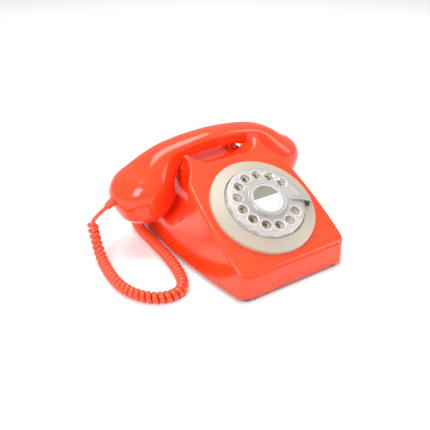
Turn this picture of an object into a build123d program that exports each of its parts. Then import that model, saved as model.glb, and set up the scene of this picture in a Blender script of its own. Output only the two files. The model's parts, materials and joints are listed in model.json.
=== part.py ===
from build123d import *
import os
from math import cos, pi, radians, sin, tan

os.makedirs("parts", exist_ok=True)

# ---------------------------------------------------------------------------------------
# Driving dimensions, in millimetres and degrees.
# Heights are above the table. "From front" is the distance behind the front of the case.
# ---------------------------------------------------------------------------------------

# Case
case_depth = 208.0
foot_height = 4.5
front_half_width = 62.4
middle_half_width = 71.2
rear_half_width = 61.0
top_front_half_width = 59.0
top_middle_half_width = 55.5
top_rear_half_width = 47.0
top_plane = 100.0
rear_lean = 23.0
front_corner_radius = 8.8
rear_corner_radius = 16.0
wall = 2.6
chin_height = 28.2
panel_tilt = 29.2
horn_height = 98.8
horn_from_front = 126.4
rear_slope = 48.0
edge_radius = 2.4

# Cradle
tower_half_width = 42.0
scoop_front = 115.0
scoop_rear = 181.0
scoop_bottom = 44.0
scoop_top = 95.0
scoop_corner = 14.0
scoop_run = 34.0
scoop_drop = 22.0
cradle_floor = 80.5
cradle_floor_drop = 5.0
pocket_half_width = 22.0
pocket_half_depth = 26.0
pocket_corner = 12.0

# Handset
handset_from_front = 150.0
handle_half_width = 14.0
handle_end_half_width = 17.0
handle_end_reach = 3.0
handle_top = 110.6
handle_bottom = 90.6
handle_arch_drop = 12.1
handle_arch_span = 81.0
handle_edge_radius = 6.5
cap_centre_x = 73.4
cap_centre_height = 37.7
cap_tilt = 20.0
cap_face_radius = 25.0
cap_rim_radius = 31.2
cap_height = 11.0
ear_radius = 33.0
ear_wall = 3.0
cap_wall = 2.4
capsule_radius = 22.0
capsule_height = 14.0

# Dial
dial_up_panel = 63.6
bezel_radius = 54.0
bezel_edge_height = 3.7
bezel_hole_radius = 40.6
bezel_hole_height = 7.5
panel_hole_radius = 42.0
wheel_radius = 39.8
wheel_bottom = 7.6
wheel_edge_top = 11.1
wheel_hub_top = 15.0
finger_holes = 12
finger_hole_radius = 5.9
finger_circle_radius = 29.7
first_hole_angle = 26.0
hole_spacing = 26.3
hub_radius = 19.8
card_radius = 16.0
card_thickness = 0.3
cover_thickness = 1.1
plate_top = 5.0
plate_thickness = 1.0
frame_thickness = 2.5
spindle_radius = 3.0
gear_plate_depth = 20.0
gear_plate_radius = 36.0
gear_plate_thickness = 2.0
post_circle_radius = 33.0

# Gears: tooth counts and modules
main_teeth = 60
idler_pinion_teeth = 15
main_module = 0.6
idler_teeth = 45
governor_teeth = 12
fine_module = 0.4
gear_thickness = 2.0

# Fixings in the case
boss_radius = 4.6
screw_radius = 1.5
screw_head_radius = 2.8
screw_head_height = 1.6
boss_top = 24.0
boss_spots = [(-58.5, 34.0), (58.5, 34.0), (-55.5, 182.0), (55.5, 182.0)]
plate_metal = 1.6
foot_radius = 5.3
foot_spots = [(-52.4, 8.8), (52.4, 8.8), (-46.0, 194.0), (46.0, 194.0)]
gland_x = -44.0
gland_height = 13.0
gland_radius = 4.6
gland_reach = 16.0
jack_x = 18.0
jack_half_width = 7.0
jack_low = 9.0
jack_high = 21.0
jack_depth = 13.0

# Dial trim and bearings
stop_angle = -19.0
stop_slot_inner = 43.0
stop_slot_outer = 47.0
stop_slot_half_width = 3.2
stop_thickness = 1.4
bezel_skirt = 2.2
bush_radius = 5.2
idler_angle = 200.0
governor_angle = 270.0
idler_shaft_radius = 1.5
governor_shaft_radius = 1.0
post_radius = 2.0
main_level = -8.0
idler_level = -12.0
governor_level = -18.0
cam_level = -16.5
cam_lobes = 10
cam_lobe_radius = 11.5
cam_root_radius = 10.0
governor_cup_radius = 8.5
governor_cup_wall = 1.2
mainspring_turns = 4
mainspring_strip = 0.6
mainspring_outer = 13.0

# Hook switch
plunger_radius = 3.0
plunger_x = 27.0
bridge_top = 52.0
bridge_thickness = 2.5
bridge_half_depth = 4.0
switch_shelf = 40.0
switch_metal = 2.0

# Ringer
gong_radius = 22.0
gong_from_front = 172.0
gong_x = 25.5
gong_low = 12.0
gong_height = 12.0
clapper_from_front = 132.0
clapper_level = 15.0
clapper_pin_radius = 1.5
ringer_coil_radius = 4.8
ringer_coil_x = 7.5

# Circuit board
board_low = 11.0
board_half_width = 42.0
board_front = 66.0
board_rear = 112.0
board_thickness = 1.6
board_corner_inset = 4.0
board_pin_radius = 1.2

# Cord: distances run from the middle, from the front of the case and from the table
wire_diameter = 4.2
coil_diameter = 11.6
relief_start = (-110.5, handset_from_front, 60.0)
relief_end = (-121.6, handset_from_front, 53.2)
relief_root_radius = 4.2
relief_tip_radius = 3.1
floor_level = coil_diameter / 2 + 0.2
handset_lead_points = [
    relief_end,
    (-138.6, 149.9, 43.8),
    (-138.3, 149.8, 34.9),
]
coil_points = [
    (-138.2, 149.6, 34.0),
    (-138.0, 146.0, 22.0),
    (-138.6, 138.5, 11.5),
    (-140.2, 126.5, 6.6),
    (-142.4, 112.0, floor_level),
    (-143.8, 98.0, floor_level),
    (-143.6, 84.0, floor_level),
    (-140.8, 70.5, floor_level),
    (-134.8, 58.5, floor_level),
    (-126.2, 49.0, floor_level),
    (-114.8, 43.6, floor_level),
    (-102.6, 44.6, floor_level),
    (-93.4, 52.6, floor_level),
    (-88.2, 66.0, floor_level),
    (-84.0, 84.0, floor_level),
    (-81.4, 106.0, floor_level),
    (-80.2, 128.0, floor_level),
    (-79.4, 150.0, floor_level),
    (-77.4, 170.0, floor_level),
    (-73.6, 186.0, floor_level),
]
gland_tip = (gland_x, case_depth + gland_reach, gland_height)
base_lead_points = [
    (-73.6, 186.0, floor_level),
    (-70.4, 199.0, 6.4),
    (-67.6, 212.0, 7.4),
    (-62.4, 223.0, 8.8),
    (-54.4, 231.0, 10.8),
    (-44.6, 232.6, 12.6),
    gland_tip,
]

# Clearances
fit_gap = 0.2
running_gap = 0.05
rest_gap = 0.4

# ---------------------------------------------------------------------------------------
# Frames worked out from the dimensions above
# ---------------------------------------------------------------------------------------


def from_front(distance):
    """Y of a point that is this far behind the front of the case."""
    return distance - case_depth / 2


slope_cos = cos(radians(panel_tilt))
slope_sin = sin(radians(panel_tilt))
handset_y = from_front(handset_from_front)
horn_rear_from_front = 2 * handset_from_front - horn_from_front - 1.5
dial_plane = Plane(
    origin=(0, from_front(dial_up_panel * slope_cos), chin_height + dial_up_panel * slope_sin),
    x_dir=(1, 0, 0),
    z_dir=(0, -slope_sin, slope_cos),
)
dial_axis = (0, -slope_sin, slope_cos)
frame_top = plate_top - plate_thickness
frame_low = frame_top - frame_thickness
spindle_low = -gear_plate_depth - gear_plate_thickness - 0.6
idler_distance = main_module * (main_teeth + idler_pinion_teeth) / 2
idler_x = idler_distance * cos(radians(idler_angle))
idler_y = idler_distance * sin(radians(idler_angle))
governor_distance = fine_module * (idler_teeth + governor_teeth) / 2
governor_x = idler_x + governor_distance * cos(radians(governor_angle))
governor_y = idler_y + governor_distance * sin(radians(governor_angle))
plunger_top = handle_bottom - rest_gap
clapper_pivot_y = from_front(clapper_from_front)


def ear_plane(side):
    """Frame of one end of the handset: origin at the cap's face, Z up into the handset."""
    tilt = radians(cap_tilt)
    return Plane(
        origin=(side * cap_centre_x, handset_y, cap_centre_height),
        x_dir=(0, 1, 0),
        z_dir=(side * sin(tilt), 0, cos(tilt)),
    )


def save(shape, name):
    """Write one sub-part, and say how many solids it holds."""
    export_step(shape, f"parts/{name}.step")
    print(f"{name}: {len(shape.solids())} solid(s)")


def turned(points):
    """Solid of revolution about Z from (radius, height) corner points."""
    outline = Polyline(*[(r, 0, h) for r, h in points], close=True)
    return revolve(make_face(outline), axis=Axis.Z)


def tube(outer, inner, low, high):
    """Ring about Z between two heights."""
    return turned([(inner, low), (outer, low), (outer, high), (inner, high)])


def rod(radius, low, high, x=0.0, y=0.0):
    """Cylinder along Z between two heights."""
    return Pos(x, y, (low + high) / 2) * Cylinder(radius, high - low)


def block(x0, x1, y0, y1, z0, z1):
    """Box from its corner coordinates."""
    centre = Pos((x0 + x1) / 2, (y0 + y1) / 2, (z0 + z1) / 2)
    return centre * Box(x1 - x0, y1 - y0, z1 - z0)


# ---------------------------------------------------------------------------------------
# Case
# ---------------------------------------------------------------------------------------


def plan_outline(height, front_half, middle_half, rear_half, depth, inset):
    """Plan of the case at one height: straight front and back, bowed sides, round corners."""
    front = from_front(inset)
    rear = from_front(depth - inset)
    middle = (front + rear) / 2
    f, m, r = front_half - inset, middle_half - inset, rear_half - inset
    sides = [
        Line((-f, front), (f, front)),
        ThreePointArc((f, front), (m, middle), (r, rear)),
        Line((r, rear), (-r, rear)),
        ThreePointArc((-r, rear), (-m, middle), (-f, front)),
    ]
    face = make_face(Curve() + sides)
    corners = face.vertices().sort_by(Axis.Y)
    face = fillet(corners[:2], radius=front_corner_radius - inset)
    corners = face.vertices().sort_by(Axis.Y)
    face = fillet(corners[-2:], radius=rear_corner_radius - inset)
    return Pos(0, 0, height) * face


def side_profile(inset):
    """Side view that cuts the panel, the flat top and the rear slope, pulled across the width."""
    out = 20.0
    horn_top = horn_height - inset
    shift = inset / slope_cos
    panel_z = chin_height - shift
    panel_tan = tan(radians(panel_tilt))
    tip_y = (horn_top - panel_z) / panel_tan
    slope_tan = tan(radians(rear_slope))
    rear_tip = horn_rear_from_front - inset * tan(radians(rear_slope / 2))
    end = case_depth + out
    points = [
        (from_front(-out), -out),
        (from_front(-out), panel_z - out * panel_tan),
        (from_front(tip_y), horn_top),
        (from_front(rear_tip), horn_top),
        (from_front(end), horn_top - (end - rear_tip) * slope_tan),
        (from_front(end), -out),
    ]
    face = make_face(Polyline(*points, close=True))
    return extrude(Plane.YZ * face, amount=2 * middle_half_width, both=True)


def scoop(side, inset):
    """Hollow beside the cradle that one end of the handset hangs in."""
    grow = 0.414 * inset
    y0, y1 = from_front(scoop_front) - grow, from_front(scoop_rear) + grow
    z0, z1 = scoop_bottom - grow, scoop_top + grow
    inner = Pos((y0 + y1) / 2, (z0 + z1) / 2) * RectangleRounded(y1 - y0, z1 - z0, scoop_corner)
    o0, o1 = y0 - scoop_run, y1 + scoop_run
    b0, b1 = z0 - scoop_drop, z1 + scoop_run
    outer = Pos((o0 + o1) / 2, (b0 + b1) / 2) * RectangleRounded(o1 - o0, b1 - b0, scoop_corner + scoop_run)
    near = Plane.YZ.offset(tower_half_width - inset) * inner
    far = Plane.YZ.offset(tower_half_width - inset + scoop_run) * outer
    tool = loft([near, far], ruled=True)
    return tool if side > 0 else mirror(tool, about=Plane.YZ)


def cradle_notch(inset):
    """V-shaped seat across the cradle, over an arched floor."""
    knee = handle_half_width + 1.3 + inset * 0.7
    knee_z = handle_bottom - rest_gap - inset * 0.7
    tip = handset_from_front - horn_from_front - 0.8 + inset
    foot = 5.0 + inset
    low = cradle_floor - 2 * cradle_floor_drop
    above = horn_height + 10
    half = [(foot, low), (knee, knee_z), (tip, horn_height), (tip, above)]
    right = [(handset_y + y, z) for y, z in half]
    left = [(handset_y - y, z) for y, z in reversed(half)]
    seat = extrude(Plane.YZ * make_face(Polyline(*(right + left), close=True)), amount=90, both=True)
    span = tower_half_width + scoop_run
    fall = cradle_floor_drop * (span / tower_half_width) ** 2
    floor = cradle_floor - inset
    arc = ThreePointArc((-span, floor - fall), (0, floor), (span, floor - fall))
    box = Polyline((span, floor - fall), (span, above), (-span, above), (-span, floor - fall))
    over = extrude(Plane.XZ * make_face(Curve() + [arc, box]), amount=case_depth, both=True)
    return seat & over


def cradle_pocket(inset):
    """Sloping hollow in the middle of the cradle, for the fingers under the handle."""
    grow = 0.414 * inset
    low = cradle_floor - inset
    rise = horn_height + 4 - low
    a = pocket_half_width + grow
    b = pocket_half_depth + grow
    bottom = Pos(0, handset_y, low) * RectangleRounded(2 * a, 2 * b, pocket_corner)
    top = RectangleRounded(2 * (a + rise), 2 * (b + rise), pocket_corner + rise)
    return loft([bottom, Pos(0, handset_y, low + rise) * top], ruled=True)


def case_blank(inset):
    """Wedge of the case before the cradle is cut."""
    base = plan_outline(foot_height, front_half_width, middle_half_width, rear_half_width, case_depth, inset)
    top = plan_outline(top_plane, top_front_half_width, top_middle_half_width, top_rear_half_width,
                       case_depth - rear_lean, inset)
    return loft([base, top], ruled=True) & side_profile(inset)


def case_cuts(inset):
    """Everything that shapes the cradle."""
    return scoop(1, inset) + scoop(-1, inset) + cradle_notch(inset) + cradle_pocket(inset)


def on_plane(edge, plane):
    """True if an edge lies in a plane."""
    points = [edge @ 0, edge @ 0.5, edge @ 1]
    return all(abs(plane.to_local_coords(p).Z) < 0.01 for p in points)


def upper_housing():
    """Moulded shell: panel, sides, back and cradle in one piece, open underneath."""
    outer = case_blank(0)
    panel = Plane(origin=(0, from_front(0), chin_height), x_dir=(1, 0, 0), z_dir=dial_axis)
    rim = [e for e in outer.edges() if on_plane(e, panel)]
    outer = fillet(rim, radius=edge_radius)
    shell = outer - case_cuts(0) - (case_blank(wall) - case_cuts(wall))
    bosses = [
        Pos(x, from_front(y), 0)
        * (rod(boss_radius, foot_height + wall, boss_top) - rod(screw_radius, 0, boss_top - 3))
        for x, y in boss_spots
    ]
    for boss in bosses:
        shell += boss & case_blank(0.5)
    shell -= dial_plane * rod(panel_hole_radius, -2 * wall, 2 * wall)
    for side in (-1, 1):
        bore = rod(plunger_radius + running_gap, cradle_floor - 20, cradle_floor + 5)
        shell -= Pos(side * plunger_x, handset_y, 0) * bore
    rear = from_front(case_depth)
    shell -= Pos(gland_x, rear, gland_height) * Rot(90, 0, 0) * Cylinder(gland_radius + fit_gap, 40)
    jack_reach = jack_half_width + fit_gap
    shell -= block(jack_x - jack_reach, jack_x + jack_reach, rear - 20, rear + 20, jack_low - fit_gap,
                   jack_high + fit_gap)
    return shell


def base_plate():
    """Flat plate that closes the underside, inside the rim of the housing."""
    low = foot_height
    inset = wall + 4 * fit_gap
    outline = plan_outline(low, front_half_width, middle_half_width, rear_half_width, case_depth, inset)
    plate = extrude(outline, amount=plate_metal)
    for x, y in boss_spots:
        plate -= rod(screw_radius + fit_gap, 0, 20, x, from_front(y))
    return plate


def rubber_feet():
    """Four round feet with a softened lower edge."""
    foot = turned([
        (0, 0), (foot_radius - 0.9, 0), (foot_radius, 1.2), (foot_radius, foot_height), (0, foot_height),
    ])
    return Compound([Pos(x, from_front(y), 0) * foot for x, y in foot_spots])


def base_screws():
    """Pan-head screws from below, through the plate into the bosses."""
    low = foot_height - screw_head_height
    screw = turned([
        (0, low), (screw_head_radius, low), (screw_head_radius, foot_height), (screw_radius, foot_height),
        (screw_radius, boss_top - 6), (0, boss_top - 5),
    ])
    slot = block(-2.2, 2.2, -0.4, 0.4, low - 1.0, low + 0.6)
    return Compound([Pos(x, from_front(y), 0) * (screw - slot) for x, y in boss_spots])


# ---------------------------------------------------------------------------------------
# Dial: everything here is drawn in the dial's own frame, height 0 on the panel
# ---------------------------------------------------------------------------------------

def stop_slot(gap):
    """Slot in the bezel that the foot of the finger stop drops into."""
    half = stop_slot_half_width + gap
    slot = block(stop_slot_inner - gap, stop_slot_outer + gap, -half, half, 1.0 - gap, 30.0)
    return Rot(0, 0, stop_angle) * slot


def dial_bezel():
    """Conical ring around the finger wheel, with a skirt through the panel."""
    skirt = panel_hole_radius - fit_gap
    ring = turned([
        (bezel_radius, 0.0), (bezel_radius, bezel_edge_height - 0.6), (bezel_radius - 0.5, bezel_edge_height),
        (bezel_hole_radius + 0.7, bezel_hole_height), (bezel_hole_radius, bezel_hole_height - 0.6),
        (bezel_hole_radius, -bezel_skirt), (skirt, -bezel_skirt), (skirt, 0.0),
    ])
    return ring - stop_slot(running_gap)


def number_plate():
    """Disc under the wheel that carries the digits."""
    return tube(bezel_hole_radius - fit_gap, bush_radius + 2 * fit_gap, frame_top, plate_top)


def post_places(radius):
    """Places of the three posts that hold the rear gear plate."""
    angles = (95.0, 335.0, 280.0)
    return [(radius * cos(radians(a)), radius * sin(radians(a))) for a in angles]


def dial_frame():
    """Round carrier under the number plate, with bearing holes for the three shafts."""
    disc = rod(bezel_hole_radius - 1.2, frame_low, frame_top)
    disc -= rod(bush_radius, -10, 10)
    disc -= rod(idler_shaft_radius + running_gap, -10, 10, idler_x, idler_y)
    disc -= rod(governor_shaft_radius + running_gap, -10, 10, governor_x, governor_y)
    return disc


def spindle_bush():
    """Brass bearing of the main spindle, pressed into the frame."""
    return tube(bush_radius, spindle_radius + running_gap, frame_low - 1.5, plate_top + 1.0)


def dial_posts():
    """Three pillars between the frame and the rear gear plate."""
    places = post_places(post_circle_radius)
    return Compound([rod(post_radius, -gear_plate_depth, frame_low, x, y) for x, y in places])


def gear_plate():
    """Rear plate with the other end of each bearing."""
    low = -gear_plate_depth - gear_plate_thickness
    plate = rod(gear_plate_radius, low, -gear_plate_depth)
    plate -= rod(spindle_radius + running_gap, low - 1, 0)
    plate -= rod(idler_shaft_radius + running_gap, low - 1, 0, idler_x, idler_y)
    plate -= rod(governor_shaft_radius + running_gap, low - 1, 0, governor_x, governor_y)
    return plate


def governor_housing():
    """Drum that the governor's weights rub against."""
    low = -gear_plate_depth
    cup = rod(governor_cup_radius, low, governor_level + 4.0)
    cup -= rod(governor_cup_radius - governor_cup_wall, low + 0.8, 0)
    cup -= rod(governor_shaft_radius + running_gap, low - 1, 0)
    return Pos(governor_x, governor_y, 0) * cup


def gear(teeth, module, low, thickness, phase):
    """Spur gear with trapezoid teeth, thinned for backlash; phase turns a tooth to that angle."""
    pitch_radius = module * teeth / 2
    root, tip = pitch_radius - 1.25 * module, pitch_radius + 0.85 * module
    step = 2 * pi / teeth
    points = []
    for tooth in range(teeth):
        centre = radians(phase) + tooth * step
        for radius, share in ((root, -0.27), (tip, -0.10), (tip, 0.10), (root, 0.27)):
            angle = centre + share * step
            points.append((radius * cos(angle), radius * sin(angle)))
    return Pos(0, 0, low) * extrude(make_face(Polyline(*points, close=True)), amount=thickness)


def finger_wheel():
    """Clear wheel with its ring of finger holes and a raised hub."""
    bore = spindle_radius
    wheel = turned([
        (bore, wheel_bottom), (wheel_radius - 0.5, wheel_bottom), (wheel_radius, wheel_bottom + 0.6),
        (wheel_radius, wheel_edge_top - 0.5), (wheel_radius - 0.5, wheel_edge_top),
        (hub_radius + 1.5, wheel_edge_top + 1.7), (card_radius + 0.3, wheel_edge_top + 2.0),
        (card_radius + 0.3, wheel_hub_top), (bore, wheel_hub_top),
    ])
    for hole in range(finger_holes):
        angle = radians(first_hole_angle + hole * hole_spacing)
        x, y = finger_circle_radius * cos(angle), finger_circle_radius * sin(angle)
        wheel -= rod(finger_hole_radius, 0, 20, x, y)
    return wheel


def hub_ring():
    """Raised collar that holds the card and its cover."""
    inner = card_radius + 0.3
    low = wheel_edge_top + 2.0
    top = wheel_hub_top + card_thickness + cover_thickness
    return turned([
        (inner, low), (hub_radius, low), (hub_radius, top - 0.8), (hub_radius - 0.8, top), (inner + 0.5, top),
        (inner, top - 0.5),
    ])


def number_card():
    """Paper disc under the cover."""
    return rod(card_radius, wheel_hub_top, wheel_hub_top + card_thickness)


def card_cover():
    """Clear window over the card, slightly crowned."""
    low = wheel_hub_top + card_thickness
    top = low + cover_thickness
    return turned([
        (0, low), (card_radius, low), (card_radius, top - 0.5), (card_radius * 0.75, top - 0.25),
        (card_radius * 0.4, top - 0.05), (0, top),
    ])


def main_spindle():
    """Shaft of the finger wheel."""
    return rod(spindle_radius, spindle_low, wheel_hub_top)


def main_gear():
    """Large gear on the spindle."""
    wheel = gear(main_teeth, main_module, main_level, gear_thickness, idler_angle)
    return wheel - rod(spindle_radius, spindle_low, wheel_hub_top)


def pulse_cam():
    """Cam whose lobes open the pulse contacts."""
    points = []
    for lobe in range(2 * cam_lobes):
        radius = cam_root_radius if lobe % 2 else cam_lobe_radius
        for end in (0.1, 0.9):
            angle = 2 * pi * (lobe + end) / (2 * cam_lobes)
            points.append((radius * cos(angle), radius * sin(angle)))
    disc = extrude(make_face(Polyline(*points, close=True)), amount=2.0)
    return Pos(0, 0, cam_level) * disc - rod(spindle_radius, spindle_low, wheel_hub_top)


def idler_gear():
    """Pinion and fine wheel on one shaft."""
    mesh_phase = idler_angle + 180.0 + 180.0 / idler_pinion_teeth
    pinion = gear(idler_pinion_teeth, main_module, main_level - 1.0, gear_thickness + 2.0, mesh_phase)
    wheel = gear(idler_teeth, fine_module, idler_level, 1.2, governor_angle)
    shaft = rod(idler_shaft_radius, -gear_plate_depth - 1.5, frame_top - 0.5)
    collar = rod(2.6, idler_level, main_level - 1.0)
    return Pos(idler_x, idler_y, 0) * (pinion + wheel + shaft + collar)


def governor_rotor():
    """Pinion, shaft and two weights that swing in the drum."""
    mesh_phase = governor_angle + 180.0 + 180.0 / governor_teeth
    pinion = gear(governor_teeth, fine_module, idler_level - 1.0, 3.0, mesh_phase)
    shaft = rod(governor_shaft_radius, -gear_plate_depth - 1.5, frame_top - 0.5)
    hub = rod(2.2, governor_level, idler_level - 1.0)
    arm = block(-6.2, 6.2, -0.8, 0.8, governor_level, governor_level + 1.2)
    weights = block(3.6, 6.2, -2.2, 2.2, governor_level, governor_level + 3.4)
    weights += block(-6.2, -3.6, -2.2, 2.2, governor_level, governor_level + 3.4)
    return Pos(governor_x, governor_y, 0) * (pinion + shaft + hub + arm + weights)


def pulse_contacts():
    """Stack of leaf springs on an insulating block beside the cam."""
    stack = block(17.0, 27.0, -4.0, 4.0, -gear_plate_depth, -12.5)
    for level in (-18.6, -15.8, -13.4):
        stack += block(12.3, 18.0, -3.0, 3.0, level, level + 0.3)
    return Rot(0, 0, 35) * stack


def mainspring():
    """Flat spiral spring between the spindle and the frame."""
    inner = spindle_radius + 0.5
    steps = 24
    inside = []
    outside = []
    for i in range(mainspring_turns * steps + 1):
        angle = 2 * pi * i / steps
        radius = inner + (mainspring_outer - inner) * i / (mainspring_turns * steps)
        back = radius + mainspring_strip
        inside.append((radius * cos(angle), radius * sin(angle)))
        outside.append((back * cos(angle), back * sin(angle)))
    face = make_face(Polyline(*(inside + outside[::-1]), close=True))
    return Pos(0, 0, -4.5) * extrude(face, amount=3.5)


def finger_stop():
    """Curved blade over the wheel, with a foot in the bezel's slot."""
    low = wheel_edge_top + 2.1
    half = stop_slot_half_width
    blade_points = [
        (24.5, 0.6), (31.0, 1.6), (38.0, 3.0), (stop_slot_outer, half), (stop_slot_outer, -half), (38.0, -2.6),
        (31.0, -1.2),
    ]
    blade = Pos(0, 0, low) * extrude(make_face(Polyline(*blade_points, close=True)), amount=stop_thickness)
    foot = block(stop_slot_inner, stop_slot_outer, -half, half, 1.0, low + stop_thickness)
    return Rot(0, 0, stop_angle) * (blade + foot)


# ---------------------------------------------------------------------------------------
# Hook switch
# ---------------------------------------------------------------------------------------

def cradle_plunger(side):
    """Pin that the handle presses down."""
    neck = plunger_top - 1.0
    pin = rod(plunger_radius, bridge_top, neck) + rod(plunger_radius - 0.6, neck, plunger_top)
    return Pos(side * plunger_x, handset_y, 0) * pin


def plunger_bridge():
    """Bar that joins the two pins."""
    reach = plunger_x + 4
    deep = bridge_half_depth
    return block(-reach, reach, handset_y - deep, handset_y + deep, bridge_top - bridge_thickness, bridge_top)


def plunger_springs():
    """Two light coil springs under the bridge, drawn as tubes."""
    spring = tube(3.0, 2.2, switch_shelf, bridge_top - bridge_thickness)
    return Compound([Pos(side * (plunger_x - 6), handset_y, 0) * spring for side in (-1, 1)])


def hook_switch():
    """Bracket with the leaf contacts that the bridge works."""
    low = foot_height + plate_metal
    half = plunger_x + 9
    front = handset_y - 8
    bracket = block(-half, half, front, handset_y + 5, switch_shelf - switch_metal, switch_shelf)
    for leg in (-half, half - switch_metal):
        bracket += block(leg, leg + switch_metal, front, handset_y - 1.5, low, switch_shelf)
    contacts = block(-7, 7, handset_y - 4, handset_y + 4, switch_shelf, switch_shelf + 3.5)
    return bracket + contacts


# ---------------------------------------------------------------------------------------
# Ringer
# ---------------------------------------------------------------------------------------

def gong(side):
    """Brass bell, open underneath, on its own post."""
    r = gong_radius
    h = gong_height
    shell = turned([
        (r, 0), (r - 0.8, h - 5.0), (r - 5, h - 1.0), (2.0, h), (2.0, h - 1.2),
        (r - 5.5, h - 2.2), (r - 2.2, h - 5.6), (r - 1.4, 0),
    ])
    return Pos(side * gong_x, from_front(gong_from_front), gong_low) * shell


def gong_screws():
    """Posts from the base plate, each with the screw head that holds its gong."""
    base = foot_height + plate_metal
    top = gong_low + gong_height
    post = turned([
        (0, base), (5.0, base), (5.0, base + 2), (1.9, base + 2), (1.9, top), (4.0, top), (4.0, top + 1.8),
        (0, top + 1.8),
    ])
    post += tube(4.5, 1.9, top - 4.0, top - 1.4)
    return Compound([Pos(side * gong_x, from_front(gong_from_front), 0) * post for side in (-1, 1)])


def clapper():
    """Striker arm on a vertical pivot, with its ball between the gongs."""
    ball_y = from_front(gong_from_front - 4.0)
    arm = block(-0.8, 0.8, clapper_pivot_y, ball_y, clapper_level - 0.8, clapper_level + 0.8)
    hub = rod(3.0, clapper_level - 2.5, clapper_level + 2.5, 0, clapper_pivot_y)
    ball = Pos(0, ball_y, clapper_level) * Sphere(2.4)
    bar_low = clapper_level - 2
    armature = block(-11, 11, clapper_pivot_y - 1.5, clapper_pivot_y + 1.5, bar_low, bar_low + 4)
    body = arm + hub + ball + armature
    return body - rod(clapper_pin_radius + running_gap, 0, 40, 0, clapper_pivot_y)


def ringer_yoke():
    """Iron bracket with the clapper's pivot pin."""
    low = foot_height + plate_metal
    yoke = block(-14, 14, clapper_pivot_y - 14, clapper_pivot_y + 3, low, low + 2)
    yoke += block(-14, 14, clapper_pivot_y - 14, clapper_pivot_y - 12, low, clapper_level + 6)
    return yoke + rod(clapper_pin_radius, low, clapper_level + 5, 0, clapper_pivot_y)


def ringer_coils():
    """Two bobbins in front of the armature."""
    y0, y1 = clapper_pivot_y - 12, clapper_pivot_y - 3.4
    coil = Rot(90, 0, 0) * Cylinder(ringer_coil_radius, y1 - y0)
    return Compound([Pos(side * ringer_coil_x, (y0 + y1) / 2, clapper_level) * coil for side in (-1, 1)])


# ---------------------------------------------------------------------------------------
# Electrics
# ---------------------------------------------------------------------------------------

def board_corners():
    """Places of the four board posts."""
    x = board_half_width - board_corner_inset
    rows = (board_front + board_corner_inset, board_rear - board_corner_inset)
    return [(side * x, from_front(y)) for side in (-1, 1) for y in rows]


def circuit_board():
    """Rectangular board on four posts."""
    front, rear = from_front(board_front), from_front(board_rear)
    board = block(-board_half_width, board_half_width, front, rear, board_low, board_low + board_thickness)
    for x, y in board_corners():
        board -= rod(board_pin_radius + running_gap, 0, 30, x, y)
    return board


def board_posts():
    """Stepped posts that the board sits on."""
    base = foot_height + plate_metal
    top = board_low + board_thickness
    pin = board_pin_radius
    post = turned([
        (0, base), (2.6, base), (2.6, board_low), (pin, board_low), (pin, top + 1.0), (0, top + 1.0),
    ])
    return Compound([Pos(x, y, 0) * post for x, y in board_corners()])


def board_components():
    """Transformer, capacitors and terminal strip standing on the board."""
    top = board_low + board_thickness
    y = from_front(board_front)
    parts = [
        block(-30, -12, y + 12, y + 28, top, top + 13),
        rod(5.0, top, top + 12, 2, y + 20),
        rod(4.0, top, top + 9, 14, y + 22),
        block(22, 34, y + 10, y + 34, top, top + 8),
        block(-8, 16, y + 34, y + 41, top, top + 7),
    ]
    return Compound(parts)


def line_jack():
    """Socket for the line cord, in the back of the case."""
    rear = from_front(case_depth)
    front = rear - 1.0 - jack_depth
    body = block(jack_x - jack_half_width, jack_x + jack_half_width, front, rear - 1.0, jack_low, jack_high)
    body -= block(jack_x - 5, jack_x + 5, rear - 10, rear, jack_low + 2.5, jack_high - 2.5)
    return body


# ---------------------------------------------------------------------------------------
# Handset
# ---------------------------------------------------------------------------------------


def ear_profile(grow):
    """Half outline of one end above its cap, shrunk by the given amount."""
    r = ear_radius - grow
    low = cap_height
    return [
        (cap_rim_radius - grow, low), (r, low + 12), (r, low + 19), (r - 3.2, low + 27), (r - 9.5, low + 34.5),
        (r - 20, low + 38.5 - grow), (0, low + 39.5 - grow),
    ]


def ear_shell(grow, low):
    """Rounded end as a solid of revolution about the cap's axis."""
    points = ear_profile(grow)
    spline = Spline([(r, 0, h) for r, h in points], tangents=[(0.25, 0, 1), (-1, 0, 0)])
    start = points[0]
    outline = [
        spline,
        Line((0, 0, points[-1][1]), (0, 0, low)),
        Line((0, 0, low), (start[0], 0, low)),
    ]
    if low < start[1]:
        outline.append(Line((start[0], 0, low), (start[0], 0, start[1])))
    return revolve(make_face(Curve() + outline), axis=Axis.Z)


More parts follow.
